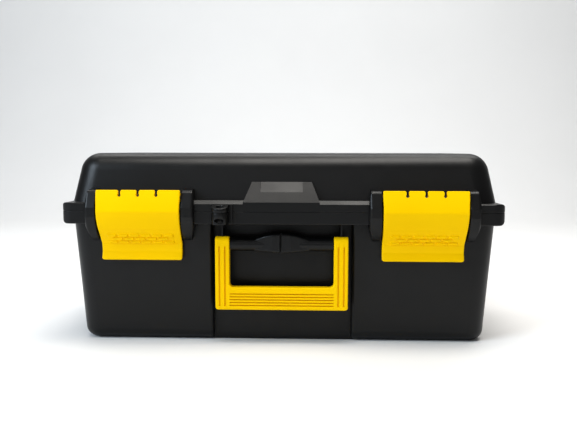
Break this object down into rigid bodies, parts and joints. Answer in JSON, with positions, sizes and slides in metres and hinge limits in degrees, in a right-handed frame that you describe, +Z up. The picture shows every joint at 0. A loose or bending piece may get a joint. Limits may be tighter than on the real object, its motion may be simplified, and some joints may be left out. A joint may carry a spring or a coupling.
{
  "type": "toolbox",
  "caption": "Moulded toolbox with drafted base and lid, two sprung-plate front latches, folding front carry handle, rear hinges and lift-out divided tray.",
  "frame": {"origin": "centre of the flat underside that the box stands on", "axes": "+Z up, +X to the right of a person facing the latches, latches and handle on the -Y side"},
  "size_m": [0.43, 0.2414, 0.188],
  "materials": {
    "black_shell": "fine grained moulded polypropylene",
    "black_trim": "fine grained moulded polypropylene",
    "yellow_plastic": "smooth satin moulded polypropylene",
    "grey_tray": "satin moulded polypropylene",
    "steel": "zinc plated wire",
    "dark_steel": "black oxide wire"
  },
  "bodies": {
    "base": {"base_shell": "black_shell", "handle_barrel": "black_trim", "handle_pin_left": "dark_steel", "handle_pin_right": "dark_steel", "padlock_eye_base": "black_trim", "hinge_pin_left": "steel", "hinge_pin_middle": "steel", "hinge_pin_right": "steel"},
    "lid": {"lid_shell": "black_shell", "padlock_eye_lid": "black_trim", "latch_rod_left": "dark_steel", "latch_rod_right": "dark_steel"},
    "latch_left": {"latch_left": "yellow_plastic"},
    "latch_right": {"latch_right": "yellow_plastic"},
    "carry_handle": {"carry_handle": "yellow_plastic"},
    "tray": {"tray": "grey_tray", "tray_divider_front_left": "grey_tray", "tray_divider_front_right": "grey_tray", "tray_divider_back_left": "grey_tray", "tray_divider_back_right": "grey_tray"},
    "tray_bail": {"tray_bail": "yellow_plastic"}
  },
  "joints": [
    {"name": "lid_hinge", "type": "hinge", "parent": "base", "child": "lid", "pos_m": [0, 0.11, 0.132], "axis": [-1, 0, 0], "range_deg": [0, 105]},
    {"name": "latch_left_hinge", "type": "hinge", "parent": "lid", "child": "latch_left", "pos_m": [-0.1376, -0.1123, 0.1455], "axis": [-1, 0, 0], "range_deg": [0, 120]},
    {"name": "latch_right_hinge", "type": "hinge", "parent": "lid", "child": "latch_right", "pos_m": [0.1376, -0.1123, 0.1455], "axis": [-1, 0, 0], "range_deg": [0, 120]},
    {"name": "handle_hinge", "type": "hinge", "parent": "base", "child": "carry_handle", "pos_m": [0, -0.1005, 0.0995], "axis": [-1, 0, 0], "range_deg": [0, 105]},
    {"name": "tray_lift", "type": "slide", "parent": "base", "child": "tray", "axis": [0, 0, 1], "range_m": [0, 0.034]},
    {"name": "tray_bail_hinge", "type": "hinge", "parent": "tray", "child": "tray_bail", "pos_m": [0, 0, 0.1205], "axis": [0, -1, 0], "range_deg": [0, 90]}
  ]
}
